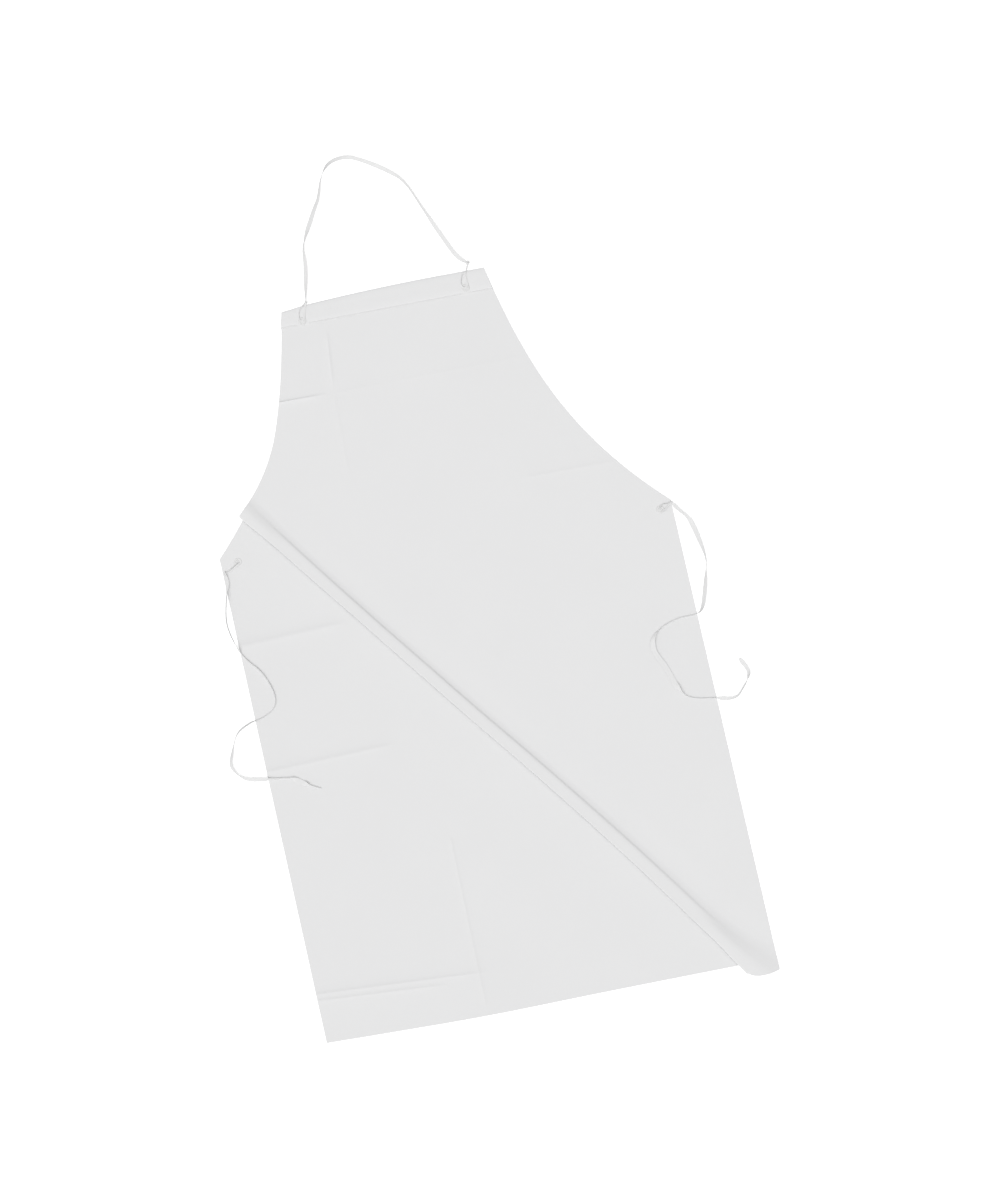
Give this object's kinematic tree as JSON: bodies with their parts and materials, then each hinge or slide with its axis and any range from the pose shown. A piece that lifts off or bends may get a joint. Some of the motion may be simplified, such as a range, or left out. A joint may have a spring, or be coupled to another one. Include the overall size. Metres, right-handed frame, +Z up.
{
  "type": "butcher apron",
  "caption": "White bib apron lying flat with a soft diagonal pleat, a turned top hem, eyelets, a knotted tape neck loop and tape waist ties.",
  "frame": {"origin": "middle of the waist line, on the underside of the sheet", "axes": "+Y towards the bib's top edge, +X to the right of someone looking at the face, +Z up out of the face"},
  "size_m": [0.7915, 1.3502, 0.008],
  "materials": {
    "sheet_cloth": "smooth matt white woven cloth with a soft sheen and sharp packing creases",
    "sewing_thread": "white polyester thread",
    "tie_tape": "narrow white herringbone tape, matt",
    "eyelet_ring": "white enamelled, satin"
  },
  "bodies": {
    "skirt": {"skirt_panel": "sheet_cloth", "waist_eyelet_left": "eyelet_ring", "waist_eyelet_right": "eyelet_ring", "waist_washer_left": "eyelet_ring", "waist_washer_right": "eyelet_ring", "waist_anchor_left": "tie_tape", "waist_anchor_right": "tie_tape"},
    "bib": {"bib_panel": "sheet_cloth", "top_hem": "sheet_cloth", "hem_stitching": "sewing_thread", "bib_eyelet_left": "eyelet_ring", "bib_eyelet_right": "eyelet_ring", "bib_washer_left": "eyelet_ring", "bib_washer_right": "eyelet_ring", "neck_anchor_left": "tie_tape", "neck_anchor_right": "tie_tape"},
    "neck_loop": {"neck_tape": "tie_tape", "neck_knot_left": "tie_tape", "neck_knot_right": "tie_tape"},
    "left_knot": {"waist_knot_left": "tie_tape"},
    "left_tie": {"waist_tie_left": "tie_tape"},
    "right_knot": {"waist_knot_right": "tie_tape"},
    "right_tie": {"waist_tie_right": "tie_tape"}
  },
  "joints": [
    {"name": "bib_fold", "type": "hinge", "parent": "skirt", "child": "bib", "pos_m": [0, 0.27, 0.0015], "axis": [1, 0, 0], "range_deg": [0, 90]},
    {"name": "neck_loop_swing", "type": "hinge", "parent": "bib", "child": "neck_loop", "pos_m": [-0.118, 0.4145, 0.0038], "axis": [0.9996, 0.0277, 0], "range_deg": [0, 120]},
    {"name": "left_tie_swing", "type": "hinge", "parent": "skirt", "child": "left_knot", "pos_m": [-0.323, 0.034, 0.0048], "axis": [0, 0, 1], "range_deg": [-90, 20]},
    {"name": "left_tie_lift", "type": "hinge", "parent": "left_knot", "child": "left_tie", "pos_m": [-0.323, 0.034, 0.0048], "axis": [-1, 0, 0], "range_deg": [0, 120]},
    {"name": "right_tie_swing", "type": "hinge", "parent": "skirt", "child": "right_knot", "pos_m": [0.355, -0.005, 0.0048], "axis": [0, 0, 1], "range_deg": [-25, 90]},
    {"name": "right_tie_lift", "type": "hinge", "parent": "right_knot", "child": "right_tie", "pos_m": [0.355, -0.005, 0.0048], "axis": [-1, 0, 0], "range_deg": [0, 120]}
  ]
}
